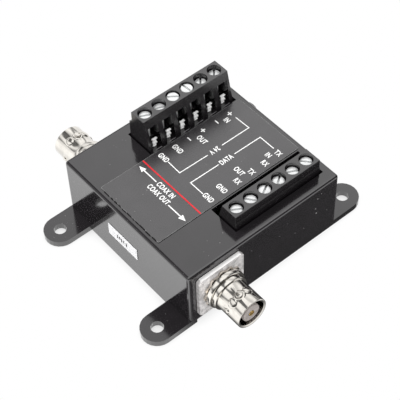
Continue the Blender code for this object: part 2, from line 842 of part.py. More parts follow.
def side_form(name, shape, target, roll):
    """Stands a form made on Z out of the barrel's side; roll is measured from the top."""
    turn = Matrix.Rotation(roll, 4, "Z") @ Matrix.Rotation(-math.pi / 2, 4, "X")
    bmesh.ops.transform(shape, matrix=turn, verts=shape.verts)
    bmesh.ops.translate(shape, vec=(0, 0, LUG_AT_Z), verts=shape.verts)
    return held_cutter(name, shape, target)


def jack_insulator(name, dielectric):
    radius = INSULATOR_D / 2
    hole = CONTACT_D / 2 + RUNNING
    profile = [
        (hole, -SHELL_REAR_LENGTH),
        (radius, -SHELL_REAR_LENGTH),
        (radius, INSULATOR_END),
        (hole, INSULATOR_END),
    ]
    return place(f"{name}_insulator", turned(profile, TURNED_STEPS, closed=True), dielectric)


def jack_contact(name, gold):
    """Centre contact: a bored and slotted socket in front, a solder pin behind."""
    radius = CONTACT_D / 2
    bore = CONTACT_BORE_D / 2
    tail = CONTACT_TAIL_D / 2
    front = INSULATOR_END - SEAT
    end = -SHELL_REAR_LENGTH - CONTACT_TAIL
    profile = [
        (0, end),
        (tail, end),
        (tail, -SHELL_REAR_LENGTH),
        (radius, -SHELL_REAR_LENGTH),
        (radius, front),
        (bore, front),
        (bore, front - CONTACT_BORE_DEPTH),
        (0, front - CONTACT_BORE_DEPTH),
    ]
    item = place(f"{name}_centre_contact", turned(profile, WELL_STEPS), gold)
    half = CONTACT_SLOT / 2
    slot = block((-CONTACT_D, -half, front - CONTACT_SLOT_DEPTH), (CONTACT_D, half, front + WALL))
    combine(item, "DIFFERENCE", held_cutter(f"cut_{name}_slot", slot, item))
    return item


def jack_inner_nut(name, metal):
    """Hexagon nut inside the wall."""
    corner = INNER_NUT_CORNER
    outline = [
        (corner * math.cos(math.tau * i / 6), corner * math.sin(math.tau * i / 6))
        for i in range(6)
    ]
    high = -WALL - SEAT
    low = high - INNER_NUT_THICK
    item = place(f"{name}_inner_nut", prism(outline, low, high), metal)
    hole = rod(SHELL_REAR_D + 2 * RUNNING, low - WALL, high + WALL, TURNED_STEPS)
    combine(item, "DIFFERENCE", held_cutter(f"cut_{name}_inner_nut", hole, item))
    return item


def make_label(film):
    """Film that fills the lid between the two cut-outs."""
    half_x = BOX_X / 2 - LABEL_MARGIN_X
    low = (-half_x, FRONT_ROW.lid_entry_y + LABEL_GAP_Y, BOX_Z + SEAT / 2)
    high = (half_x, REAR_ROW.lid_entry_y - LABEL_GAP_Y, BOX_Z + SEAT / 2 + LABEL_THICK)
    place("lid_label", block(low, high), film)


def make_sticker(paper):
    near = -BOX_X / 2 - SEAT / 2
    low = (near - STICKER_THICK, STICKER_AT_Y - STICKER_Y / 2, STICKER_AT_Z - STICKER_Z / 2)
    high = (near, STICKER_AT_Y + STICKER_Y / 2, STICKER_AT_Z + STICKER_Z / 2)
    place("side_sticker", block(low, high), paper)


def hang_under_board(height):
    """Height of the centre of a part that is soldered under the board."""
    return BOARD_BOTTOM_Z - SEAT - height / 2


def make_gas_tube(name, x, y, ceramic):
    """Two-electrode arrester lying on its side, with a rim at each end."""
    radius = GAS_TUBE_D / 2
    half = GAS_TUBE_LENGTH / 2
    neck = radius - GAS_TUBE_RIM / 2
    profile = [
        (0, -half),
        (radius, -half),
        (radius, -half + GAS_TUBE_RIM),
        (neck, -half + GAS_TUBE_RIM),
        (neck, half - GAS_TUBE_RIM),
        (radius, half - GAS_TUBE_RIM),
        (radius, half),
        (0, half),
    ]
    place(
        name,
        turned(profile, WELL_STEPS),
        ceramic,
        location=(x, y, hang_under_board(GAS_TUBE_D)),
        rotation=(0, math.pi / 2, 0),
    )


def make_varistor(name, x, y, coating):
    """Coated disc lying flat, with a rounded rim."""
    radius = VARISTOR_D / 2
    half = VARISTOR_THICK / 2
    profile = [
        (0, -half),
        (radius - VARISTOR_EDGE, -half),
        (radius, -half + VARISTOR_EDGE),
        (radius, half - VARISTOR_EDGE),
        (radius - VARISTOR_EDGE, half),
        (0, half),
    ]
    place(
        name,
        turned(profile, WELL_STEPS),
        coating,
        location=(x, y, hang_under_board(VARISTOR_THICK)),
    )


def make_small_block(name, size, x, y, finish):
    """Moulded body with bevelled upright edges."""
    half = Vector(size) / 2
    body = block(-half, half)
    soften(
        body,
        MOULDED_EDGE,
        1,
        lambda edge: abs(edge.verts[0].co.z - edge.verts[1].co.z) > half.z,
    )
    place(name, body, finish, location=(x, y, hang_under_board(size[2])))


def make_protection_parts():
    ceramic = material("arrester ceramic", (0.75, 0.72, 0.68), 0.35)
    coating = material("varistor coating", (0.10, 0.22, 0.55), 0.5)
    moulding = material("diode moulding", (0.02, 0.02, 0.02), 0.55)
    polymer = material("fuse coating", (0.80, 0.60, 0.10), 0.5)
    make_gas_tube("coax_gas_tube", JACK_X + GAS_TUBE_LENGTH / 2, GAS_TUBE_Y, ceramic)
    make_gas_tube("data_gas_tube", ROW_X, -GAS_TUBE_Y, ceramic)
    make_varistor("supply_varistor", ROW_X, VARISTOR_Y, coating)
    for i in range(DIODES):
        x = ROW_X + PITCH * (i - (DIODES - 1) / 2)
        make_small_block(f"data_diode_{i + 1}", DIODE_SIZE, x, -DIODE_Y, moulding)
    for i in range(FUSES):
        x = ROW_X + FUSE_PITCH * (i - (FUSES - 1) / 2)
        make_small_block(f"resettable_fuse_{i + 1}", FUSE_SIZE, x, FUSE_Y, polymer)


def main():
    clear_scene()
    paint = material("black paint", (0.035, 0.033, 0.035), 0.3)
    plastic = material("terminal moulding", (0.03, 0.03, 0.03), 0.4)
    nickel = material("nickel plate", (0.80, 0.78, 0.75), 0.2, 1.0)
    steel = material("dark steel", (0.32, 0.31, 0.30), 0.35, 1.0)
    zinc = material("zinc plate", (0.75, 0.75, 0.76), 0.3, 1.0)
    dielectric = material("dielectric", (0.60, 0.57, 0.52), 0.5)
    gold = material("gold plate", (0.85, 0.60, 0.25), 0.25, 1.0)
    laminate = material("board laminate", (0.05, 0.22, 0.08), 0.4)
    film = material("label film", (0.06, 0.06, 0.06), 0.6)
    paper = material("sticker paper", (0.85, 0.85, 0.85), 0.6)
    make_enclosure(paint)
    make_base_plate(paint)
    make_base_screws(zinc)
    make_board(laminate)
    make_board_screws(zinc)
    for row, depths, angles in (
        (REAR_ROW, REAR_SCREW_DEPTHS, REAR_SLOT_DEGREES),
        (FRONT_ROW, FRONT_SCREW_DEPTHS, FRONT_SLOT_DEGREES),
    ):
        make_housing(row, plastic)
        make_terminals(row, depths, angles, zinc)
    make_jack("front", -1, nickel, steel, dielectric, gold)
    make_jack("rear", 1, nickel, steel, dielectric, gold)
    make_label(film)
    make_sticker(paper)
    make_protection_parts()


main()
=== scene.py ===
import math
import random

import bmesh
import bpy
from mathutils import Matrix, Vector


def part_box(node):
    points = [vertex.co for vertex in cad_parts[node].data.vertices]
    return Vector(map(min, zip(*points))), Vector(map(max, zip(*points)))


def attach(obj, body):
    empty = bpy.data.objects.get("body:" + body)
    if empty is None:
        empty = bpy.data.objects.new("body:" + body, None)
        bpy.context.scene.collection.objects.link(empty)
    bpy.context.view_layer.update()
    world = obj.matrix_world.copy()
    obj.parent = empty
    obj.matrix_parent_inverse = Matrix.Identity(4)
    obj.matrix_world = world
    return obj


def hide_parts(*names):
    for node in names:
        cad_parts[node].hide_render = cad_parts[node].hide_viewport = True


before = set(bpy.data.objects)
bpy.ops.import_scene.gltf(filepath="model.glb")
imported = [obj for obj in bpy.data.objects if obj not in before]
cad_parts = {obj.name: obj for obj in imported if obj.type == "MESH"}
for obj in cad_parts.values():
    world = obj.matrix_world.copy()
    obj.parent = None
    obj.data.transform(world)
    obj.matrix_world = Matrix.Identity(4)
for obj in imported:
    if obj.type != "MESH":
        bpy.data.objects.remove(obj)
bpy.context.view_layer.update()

MM = 0.001

# Camera, fitted to the box, tabs, label and screws of the photograph
AIM = Vector((3.396, 5.096, 0.095)) * MM
YAW = math.radians(-38.459)
ELEVATION = math.radians(50.941)
ROLL = math.radians(-2.127)
DISTANCE = 369.974 * MM
SENSOR = 36.0
PHOTO_WIDTH = 400
FOCAL = 1271.933 / PHOTO_WIDTH * SENSOR
CLIP_NEAR = 10 * MM
CLIP_FAR = 20.0

# Studio: strengths of the world and the floor, and the lamps
WORLD_DIFFUSE = 0.60
WORLD_MIRRORED = 1.25
FLOOR_MIRRORED = 1.28
FLOOR_SIZE = 6
FLOOR_DROP = 0.05 * MM
SHADOW_REACH = 5 * MM
# Painted shadow of the box on the floor the object mirrors, and painted shade near the left wall
SHADOW_GREY = (0.07, 0.07, 0.07)
SHADOW_START = 26.6 * MM
SHADOW_LENGTH = 30 * MM
SHADOW_LEFT = 32 * MM
SHADOW_FADE = 16 * MM
WALL_SHADE_START = 26.8 * MM
WALL_SHADE_LENGTH = 14 * MM
LAMP_SIZE = 0.5
LAMPS = (("key", (-0.35, 0.45, 0.75), 8), ("fill", (-0.10, -0.60, 0.50), 4))

# Object: what the pieces of the scene share
POLES = 6
WALL_Y = 26.8 * MM
LABEL_LOW, LABEL_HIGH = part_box("lid_label")
FILM_GAP = 0.05 * MM
LID_Z = LABEL_LOW.z - FILM_GAP
PRINT_LIFT = 0.02 * MM
PRINT_THICK = 0.03 * MM
CREASE = 35
ROUND = 48


# Camera and stage

def add_camera():
    """The photograph's camera, rolled about its own line of sight."""
    back = Vector((
        math.sin(YAW) * math.cos(ELEVATION),
        -math.cos(YAW) * math.cos(ELEVATION),
        math.sin(ELEVATION),
    ))
    right = (-back).cross(Vector((0, 0, 1))).normalized()
    up = right.cross(-back)
    turned_right = math.cos(ROLL) * right + math.sin(ROLL) * up
    turned_up = -math.sin(ROLL) * right + math.cos(ROLL) * up
    camera = bpy.data.objects.new("camera", bpy.data.cameras.new("camera"))
    bpy.context.scene.collection.objects.link(camera)
    place = Matrix((turned_right, turned_up, back)).transposed().to_4x4()
    place.translation = AIM + DISTANCE * back
    camera.matrix_world = place
    camera.data.sensor_width = SENSOR
    camera.data.lens = FOCAL
    camera.data.clip_start = CLIP_NEAR
    camera.data.clip_end = CLIP_FAR
    bpy.context.scene.camera = camera


class Nodes:
    """Short calls for building one node tree; math and mix take sockets or plain values."""

    def __init__(self, tree):
        self.tree = tree
        tree.nodes.clear()

    def add(self, kind, **values):
        node = self.tree.nodes.new(kind)
        for name, value in values.items():
            if hasattr(node, name):
                setattr(node, name, value)
            else:
                node.inputs[name].default_value = value
        return node

    def link(self, source, target):
        self.tree.links.new(source, target)

    def math(self, operation, first, second=0.0):
        node = self.add("ShaderNodeMath", operation=operation)
        for socket, value in zip(node.inputs, (first, second)):
            if isinstance(value, bpy.types.NodeSocket):
                self.link(value, socket)
            else:
                socket.default_value = value
        return node.outputs[0]

    def mix(self, factor, first, second):
        node = self.add("ShaderNodeMix", data_type="RGBA")
        sockets = (node.inputs[0], node.inputs[6], node.inputs[7])
        for socket, value in zip(sockets, (factor, first, second)):
            if isinstance(value, bpy.types.NodeSocket):
                self.link(value, socket)
            elif isinstance(value, tuple):
                socket.default_value = (*value, 1.0)
            else:
                socket.default_value = value
        return node.outputs[2]

    def steps(self, value, *stops):
        """A ramp of (position, grey) stops."""
        node = self.add("ShaderNodeValToRGB")
        ramp = node.color_ramp
        while len(ramp.elements) < len(stops):
            ramp.elements.new(0.5)
        for element, (at, grey) in zip(ramp.elements, stops):
            element.position = at
            element.color = (grey, grey, grey, 1.0)
        self.link(value, node.inputs[0])
        return node.outputs[0]

    def choose(self, factor, first, second):
        """A shader mix."""
        node = self.add("ShaderNodeMixShader")
        self.link(factor, node.inputs[0])
        self.link(first, node.inputs[1])
        self.link(second, node.inputs[2])
        return node.outputs[0]


def add_world():
    """A pale dome for diffuse light, the same with dark stretches for mirrored light.

    The camera itself sees plain white.
    """
    world = bpy.data.worlds.new("studio")
    bpy.context.scene.world = world
    world.use_nodes = True
    n = Nodes(world.node_tree)
    coordinates = n.add("ShaderNodeTexCoord")
    direction = n.add("ShaderNodeSeparateXYZ")
    n.link(coordinates.outputs["Generated"], direction.inputs[0])
    x, y, z = direction.outputs[:3]
    # dark low over the horizon, for the barrels and the rounded edges
    dome = n.steps(z, (0.0, 0.92), (0.18, 0.80), (0.26, 0.25), (0.36, 0.30), (0.46, 0.85),
                   (0.60, 0.95), (1.0, 0.98))
    # greyer to the rear right, where the lid mirrors the dome
    across = n.math("ADD", x, n.math("MULTIPLY", y, 0.9))
    side = n.steps(across, (0.50, 1.0), (0.62, 0.66), (0.76, 0.68), (0.95, 1.0))
    # a dark band overhead, which runs along the barrels
    slit = n.steps(n.math("ADD", x, 0.5), (0.00, 1.0), (0.07, 0.14), (0.54, 0.12), (0.62, 1.0))
    high = n.steps(z, (0.55, 0.0), (0.65, 1.0), (0.93, 1.0), (0.97, 0.0))
    slit = n.mix(high, (1.0, 1.0, 1.0), slit)
    # dark to the front right and behind the camera
    right = n.steps(n.math("SUBTRACT", x, y), (0.50, 1.0), (0.85, 0.08))
    behind = n.steps(n.math("MULTIPLY", n.math("ADD", x, y), -1), (0.70, 1.0), (1.0, 0.10))
    corner = n.math("MULTIPLY", right, behind)
    shade = n.math("MULTIPLY", n.math("MULTIPLY", side, slit), corner)
    paths = n.add("ShaderNodeLightPath")
    lamp = n.add("ShaderNodeBackground", Strength=WORLD_DIFFUSE)
    n.link(dome, lamp.inputs[0])
    mirrored = n.add("ShaderNodeBackground", Strength=WORLD_MIRRORED)
    n.link(n.math("MULTIPLY", dome, shade), mirrored.inputs[0])
    white = n.add("ShaderNodeBackground", Strength=1.0)
    white.inputs[0].default_value = (1, 1, 1, 1)
    glossy = n.choose(paths.outputs["Is Glossy Ray"], lamp.outputs[0], mirrored.outputs[0])
    seen = n.choose(paths.outputs["Is Camera Ray"], glossy, white.outputs[0])
    n.link(seen, n.add("ShaderNodeOutputWorld").inputs[0])


def add_lamp(name, at, power):
    """A round soft lamp that looks at the object and isn't mirrored in it."""
    lamp = bpy.data.lights.new(name, "AREA")
    lamp.shape = "DISK"
    lamp.size = LAMP_SIZE
    lamp.energy = power
    item = bpy.data.objects.new(name, lamp)
    bpy.context.scene.collection.objects.link(item)
    item.location = at
    item.rotation_euler = (-Vector(at)).to_track_quat("-Z", "Y").to_euler()
    item.visible_glossy = False


def add_floor():
    """White to the camera but for contact shadows.

    To mirrored rays it glows as a painted reflection of a lit floor, with a painted shadow of the
    box in front of it and painted shade darkening toward the left wall.
    """
    bpy.ops.mesh.primitive_plane_add(size=FLOOR_SIZE)
    floor = bpy.context.object
    floor.name = "floor"
    floor.location = (0, 0, -FLOOR_DROP)
    made = bpy.data.materials.new("floor")
    made.use_nodes = True
    n = Nodes(made.node_tree)
    paths = n.add("ShaderNodeLightPath")
    near = n.add("ShaderNodeAmbientOcclusion", samples=12)
    near.inputs["Distance"].default_value = SHADOW_REACH
    contact = n.steps(near.outputs["AO"], (0.0, 0.45), (0.35, 0.82), (0.70, 1.0))
    seen = n.add("ShaderNodeEmission", Strength=1.0)
    n.link(contact, seen.inputs[0])
    geometry = n.add("ShaderNodeNewGeometry")
    place = n.add("ShaderNodeSeparateXYZ")
    n.link(geometry.outputs["Position"], place.inputs[0])
    x, y = place.outputs[:2]
    # Painted shadow of the box in front of it, seen only in mirrored rays
    ahead = n.math("MULTIPLY", n.math("ADD", y, SHADOW_START), -1 / SHADOW_LENGTH)
    front = n.steps(ahead, (0.0, 0.0), (0.01, 1.0), (0.55, 1.0), (0.95, 0.0))
    beside = n.math("MULTIPLY", n.math("ADD", x, SHADOW_LEFT), 1 / SHADOW_FADE)
    wide = n.steps(beside, (0.0, 0.0), (0.5, 1.0))
    # Painted shade: the mirrored floor is darker close to the left wall
    left = n.math("MULTIPLY", n.math("ADD", x, WALL_SHADE_START), -1 / WALL_SHADE_LENGTH)
    pale = n.steps(left, (0.0, 0.78), (1.0, 1.0))
    painted_floor_shade = n.mix(n.math("MULTIPLY", front, wide), pale, SHADOW_GREY)
    mirrored = n.add("ShaderNodeEmission", Strength=FLOOR_MIRRORED)
    n.link(painted_floor_shade, mirrored.inputs[0])
    lit = n.add("ShaderNodeBsdfDiffuse")
    lit.inputs[0].default_value = (0.8, 0.8, 0.8, 1)
    glossy = n.choose(paths.outputs["Is Glossy Ray"], lit.outputs[0], mirrored.outputs[0])
    shown = n.choose(paths.outputs["Is Camera Ray"], glossy, seen.outputs[0])
    n.link(shown, n.add("ShaderNodeOutputMaterial").inputs[0])
    floor.data.materials.append(made)


# Materials

def finish_material(name, color, roughness, spread, grain, bump, metallic=0.0, ior=1.5,
                    tint=0.12, stretch=(1, 1, 1), fine=None, above=None):
    """Principled shader with noise in its colour, roughness and surface.

    grain and fine are the sizes of the coarse and fine noise in metres, spread is how
    far the roughness strays, tint how far the colour does. above is a height, the colour
    over it and whether it is metal there.
    """
    made = bpy.data.materials.new(name)
    made.use_nodes = True
    n = Nodes(made.node_tree)
    shader = n.add("ShaderNodeBsdfPrincipled", Metallic=metallic, IOR=ior)
    coordinates = n.add("ShaderNodeTexCoord")
    mapping = n.add("ShaderNodeMapping")
    mapping.inputs["Scale"].default_value = stretch
    n.link(coordinates.outputs["Object"], mapping.inputs[0])
    coarse = n.add("ShaderNodeTexNoise", Scale=1 / grain, Detail=4.0)
    n.link(mapping.outputs[0], coarse.inputs["Vector"])
    small = n.add("ShaderNodeTexNoise", Scale=1 / (fine or grain / 6), Detail=3.0)
    n.link(mapping.outputs[0], small.inputs["Vector"])
    light = tuple(min(1.0, value * (1 + tint)) for value in color)
    dark = tuple(value * (1 - tint) for value in color)
    shade = n.steps(coarse.outputs["Fac"], (0.35, 0.0), (0.65, 1.0))
    tone = n.mix(shade, dark, light)
    # Colour over a height: the board's tin plating, and on the flanges a painted highlight along
    # their top
    if above:
        height, upper, metal = above
        geometry = n.add("ShaderNodeNewGeometry")
        place = n.add("ShaderNodeSeparateXYZ")
        n.link(geometry.outputs["Position"], place.inputs[0])
        over = n.math("GREATER_THAN", place.outputs[2], height)
        tone = n.mix(over, tone, upper)
        if metal:
            n.link(over, shader.inputs["Metallic"])
    n.link(tone, shader.inputs["Base Color"])
    stray = n.math("MULTIPLY", small.outputs["Fac"], 2 * spread)
    n.link(n.math("ADD", stray, roughness - spread), shader.inputs["Roughness"])
    if bump:
        relief = n.add("ShaderNodeBump", Strength=1.0, Distance=bump)
        n.link(small.outputs["Fac"], relief.inputs["Height"])
        n.link(relief.outputs[0], shader.inputs["Normal"])
    n.link(shader.outputs[0], n.add("ShaderNodeOutputMaterial").inputs[0])
    return made


def make_materials():
    """All finishes, as name, colour, roughness, its spread, grain size and bump height."""
    slim = (1, 1, 6)
    board_top = 14.25 * MM
    # Above this height the flanges are painted lighter: a painted highlight on their top face
    flange_highlight_height = 19.2 * MM
    return {
        "paint": finish_material("black_paint", (0.0110, 0.0095, 0.0110), 0.12, 0.03, 6 * MM,
                                 0.0012 * MM, ior=2.0, fine=0.9 * MM),
        "moulding": finish_material("terminal_moulding", (0.0070, 0.0060, 0.0070), 0.22, 0.05,
                                    3 * MM, 0.003 * MM, ior=2.1, fine=0.35 * MM),
        "nickel": finish_material("nickel_plate", (0.76, 0.73, 0.68), 0.11, 0.05, 2.5 * MM,
                                  0.003 * MM, metallic=1.0, tint=0.08),
        "flange": finish_material("flange_plate_finish", (0.66, 0.64, 0.635), 0.34, 0.14,
                                  1.3 * MM, 0.012 * MM, metallic=0.25, tint=0.28,
                                  above=(flange_highlight_height, (0.95, 0.94, 0.93), False)),
        "zinc": finish_material("zinc_plate", (0.90, 0.90, 0.89), 0.22, 0.08, 1.2 * MM,
                                0.004 * MM, metallic=1.0, tint=0.06, stretch=slim),
        "screw": finish_material("worn_zinc", (0.84, 0.85, 0.85), 0.30, 0.08, 1.2 * MM,
                                 0.004 * MM, metallic=0.6, tint=0.06, stretch=slim),
        "leaf": finish_material("tin_plate", (0.95, 0.95, 0.94), 0.30, 0.08, 1.0 * MM,
                                0.004 * MM, metallic=0.2, tint=0.10),
        "steel": finish_material("dark_steel", (0.80, 0.74, 0.66), 0.22, 0.10, 1.5 * MM,
                                 0.006 * MM, metallic=1.0, tint=0.25),
        "dielectric": finish_material("dielectric", (0.30, 0.27, 0.255), 0.45, 0.08, 1.5 * MM,
                                      0.006 * MM, tint=0.12),
        "gold": finish_material("gold_plate", (0.85, 0.58, 0.20), 0.25, 0.08, 1.0 * MM,
                                0.003 * MM, metallic=1.0),
        "laminate": finish_material("board_laminate", (0.008, 0.026, 0.013), 0.35, 0.08, 4 * MM,
                                    0.005 * MM, above=(board_top, (0.16, 0.155, 0.15), True)),
        "film": finish_material("label_film", (0.024, 0.022, 0.024), 0.28, 0.05, 5 * MM,
                                0.004 * MM, fine=0.25 * MM, ior=2.1),
        # Paler rim round the label film: a painted highlight along its edge
        "clear": finish_material("film_edge", (0.17, 0.17, 0.17), 0.35, 0.08, 2 * MM,
                                 0.003 * MM, tint=0.3, fine=0.4 * MM),
        # Pale strip at the foot of each wire window: a painted highlight
        "sill": finish_material("painted_sill_highlight", (0.20, 0.19, 0.20), 0.35, 0.08, 2 * MM,
                                0.003 * MM, tint=0.3, fine=0.4 * MM),
        # Near black: a painted shadow beside the label's left edge
        "label_shadow": finish_material("painted_edge_shadow", (0.004, 0.004, 0.004), 0.6, 0.1, 1 * MM,
                                0.004 * MM, tint=0.3),
        "white_ink": finish_material("white_ink", (0.84, 0.84, 0.83), 0.5, 0.08, 2 * MM,
                                     0.003 * MM, tint=0.04),
        "red_ink": finish_material("red_ink", (0.56, 0.022, 0.030), 0.45, 0.08, 2 * MM,
                                   0.003 * MM, tint=0.10),
        "paper": finish_material("sticker_paper", (0.80, 0.80, 0.81), 0.6, 0.1, 1.5 * MM,
                                 0.006 * MM, tint=0.03),
        "ink": finish_material("sticker_ink", (0.06, 0.06, 0.062), 0.5, 0.1, 0.6 * MM,
                               0.003 * MM, tint=0.4),
        "ceramic": finish_material("arrester_ceramic", (0.75, 0.72, 0.68), 0.3, 0.08, 2 * MM,
                                   0.004 * MM),
        "coating": finish_material("varistor_coating", (0.10, 0.22, 0.55), 0.4, 0.1, 2 * MM,
                                   0.010 * MM),
        "diode": finish_material("diode_moulding", (0.02, 0.02, 0.02), 0.5, 0.1, 1 * MM,
                                 0.006 * MM),
        "fuse": finish_material("fuse_coating", (0.80, 0.60, 0.10), 0.45, 0.1, 2 * MM,
                                0.008 * MM),
        "dust": finish_material("dust", (0.34, 0.33, 0.33), 0.9, 0.05, 0.2 * MM, 0.001 * MM),
    }


# Mesh helpers

def piece(name, shape, finish, body="box", replaced=(), smooth=CREASE):
    """A scene piece from a bmesh, riding on a body and standing for CAD nodes."""
    bmesh.ops.recalc_face_normals(shape, faces=shape.faces)
    mesh = bpy.data.meshes.new(name)
    shape.to_mesh(mesh)
    shape.free()
    mesh.materials.append(finish)
    mesh.shade_smooth()
    mesh.set_sharp_from_angle(angle=math.radians(smooth))
    item = bpy.data.objects.new(name, mesh)
    bpy.context.scene.collection.objects.link(item)
    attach(item, body)
    if replaced:
        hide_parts(*replaced)
    return item


def bevel(item, width, steps=2, angle=CREASE):
    """Rounded edges, by a modifier."""
    step = item.modifiers.new("edges", "BEVEL")
    step.width = width
    step.segments = steps
    step.limit_method = "ANGLE"
    step.angle_limit = math.radians(angle)
    step.harden_normals = True


def carve(item, operation, *shapes, smooth=CREASE):
    """Cuts each bmesh out of a piece, or joins it on, and keeps the result as its mesh."""
    for shape in shapes:
        bmesh.ops.recalc_face_normals(shape, faces=shape.faces)
        mesh = bpy.data.meshes.new("tool")
        shape.to_mesh(mesh)
        shape.free()
        mesh.materials.append(item.data.materials[0])
        tool = bpy.data.objects.new("tool", mesh)
        bpy.context.scene.collection.objects.link(tool)
        step = item.modifiers.new("cut", "BOOLEAN")
        step.operation = operation
        step.solver = "EXACT"
        step.object = tool
        bpy.context.view_layer.update()
        graph = bpy.context.evaluated_depsgraph_get()
        result = bpy.data.meshes.new_from_object(item.evaluated_get(graph))
        item.modifiers.clear()
        bpy.data.objects.remove(tool)
        item.data = result
    item.data.shade_smooth()
    item.data.set_sharp_from_angle(angle=math.radians(smooth))


def turned(profile, steps, closed=True):
    """A profile of (radius, z) points turned about Z."""
    shape = bmesh.new()
    points = [shape.verts.new((radius, 0, z)) for radius, z in profile]
    ends = points[1:] + points[:1] if closed else points[1:]
    edges = [shape.edges.new(pair) for pair in zip(points, ends)]
    bmesh.ops.spin(shape, geom=points + edges, cent=(0, 0, 0), axis=(0, 0, 1),
                   angle=math.tau, steps=steps, use_merge=True)
    bmesh.ops.remove_doubles(shape, verts=shape.verts, dist=1e-8)
    return shape


def prism(outline, low, high):
    """An outline of (x, y) points raised from low to high."""
    shape = bmesh.new()
    face = shape.faces.new([shape.verts.new((x, y, low)) for x, y in outline])
    raised = bmesh.ops.extrude_face_region(shape, geom=[face])["geom"]
    top = [item for item in raised if isinstance(item, bmesh.types.BMVert)]
    bmesh.ops.translate(shape, vec=(0, 0, high - low), verts=top)
    return shape


def ring(outer, inner, low, high):
    """A closed frame between two outlines with as many points each."""
    shape = bmesh.new()
    loops = []
    for outline, z in ((outer, low), (outer, high), (inner, high), (inner, low)):
        loops.append([shape.verts.new((x, y, z)) for x, y in outline])
    count = len(outer)
    for first, second in zip(loops, loops[1:] + loops[:1]):
        for i in range(count):
            j = (i + 1) % count
            shape.faces.new((first[i], first[j], second[j], second[i]))
    return shape


def loft(sections):
    """A closed body through (z, middle x, half width, near y, far y) sections."""
    shape = bmesh.new()
    levels = []
    for z, x, half, near, far in sections:
        corners = ((x - half, near), (x + half, near), (x + half, far), (x - half, far))
        levels.append([shape.verts.new((a, b, z)) for a, b in corners])
    shape.faces.new(levels[0][::-1])
    shape.faces.new(levels[-1])
    for lower, upper in zip(levels, levels[1:]):
        for i in range(4):
            j = (i + 1) % 4
            shape.faces.new((lower[i], lower[j], upper[j], upper[i]))
    return shape


def rounded(low, high, radius, steps=5):
    """Outline of a rectangle with round corners, or cut ones with one step."""
    points = []
    corners = ((high[0], high[1]), (low[0], high[1]), (low[0], low[1]), (high[0], low[1]))
    for turn, (x, y) in enumerate(corners):
        cx = x - math.copysign(radius, x - (low[0] + high[0]) / 2)
        cy = y - math.copysign(radius, y - (low[1] + high[1]) / 2)
        for i in range(steps + 1):
            angle = math.pi / 2 * (turn + i / steps)
            points.append((cx + radius * math.cos(angle), cy + radius * math.sin(angle)))
    return points


def block(low, high):
    """A box between two corners."""
    low, high = Vector(low), Vector(high)
    shape = bmesh.new()
    bmesh.ops.create_cube(shape, size=1)
    bmesh.ops.scale(shape, vec=high - low, verts=shape.verts)
    bmesh.ops.translate(shape, vec=(low + high) / 2, verts=shape.verts)
    return shape


def moved(shape, matrix):
    """The same bmesh, moved."""
    bmesh.ops.transform(shape, matrix=matrix, verts=shape.verts)
    return shape


def joined(*shapes):
    """One bmesh from several."""
    whole = bmesh.new()
    for shape in shapes:
        mesh = bpy.data.meshes.new("part")
        shape.to_mesh(mesh)
        shape.free()
        whole.from_mesh(mesh)
        bpy.data.meshes.remove(mesh)
    return whole


# The box: its CAD nodes keep their shape and get rounded edges and finishes

def dress_nodes(finishes):
    """Finish and width of the rounded edges, in millimetres, for each kept node."""
    plain = {
        "enclosure": ("paint", 0.18),
        "base_plate": ("paint", 0.10),
        "circuit_board": ("laminate", 0.04),
        "supply_varistor": ("coating", 0.15),
        "coax_gas_tube": ("ceramic", 0.10),
        "data_gas_tube": ("ceramic", 0.10),
    }
    for prefix, look in (
        ("base_screw", ("zinc", 0.08)),
        ("board_screw", ("zinc", 0.08)),
        ("data_diode", ("diode", 0.10)),
        ("resettable_fuse", ("fuse", 0.20)),
        ("front_pressure_plate", ("zinc", 0.06)),
        ("rear_pressure_plate", ("zinc", 0.06)),
        ("front_inner_nut", ("nickel", 0.08)),
        ("rear_inner_nut", ("nickel", 0.08)),
    ):
        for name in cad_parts:
            if name.startswith(prefix):
                plain[name] = look
    for name, (finish, width) in plain.items():
        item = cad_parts[name]
        for slot in item.material_slots:
            slot.material = finishes[finish]
        bevel(item, width * MM)


# Terminal rows

class Row:
    """One terminal row; toward is the way from the screws to the wire entry.

    screw, top_near, top_far, back, entry and leaf are places along Y, shoulder, floor and
    ceiling are heights, all in millimetres. degrees are the turns of the screws' slots.
    """

    def __init__(self, name, toward, screw, top_near, top_far, back, entry, shoulder,
                 floor, ceiling, leaf, degrees):
        self.name = name
        self.toward = toward
        self.screw = screw * MM
        self.top_near = top_near * MM
        self.top_far = top_far * MM
        self.back = back * MM
        self.entry = entry * MM
        self.shoulder = shoulder * MM
        self.floor = floor * MM
        self.ceiling = ceiling * MM
        self.leaf = leaf * MM
        self.degrees = degrees

    def pole_x(self, number):
        low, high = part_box(f"{self.name}_terminal_screw_{number}")
        return (low.x + high.x) / 2


ROWS = (
    Row("rear", -1, 18.4, 15.7, 21.1, 22.3, 13.3, 27.5, 21.0, 29.1, 14.9,
        (153, 156, 143, 94, 51, 50)),
    Row("front", 1, -19.8, -17.1, -22.5, -22.7, -15.7, 23.5, 20.7, 24.8, -16.5,
        (148, 126, 30, 37, 152, 131)),
)


WELL = 2.02 * MM
WELL_DEPTH = 4.6 * MM
WELL_LIP = 0.05 * MM
HALF_WINDOW = 1.7 * MM
HALF_PIN = 0.6 * MM
CUT_PAST = 1 * MM
PIN_PAST_FLOOR = 0.4 * MM
WINDOW_INNER = 2.1 * MM
WINDOW_OUTER = 2 * MM


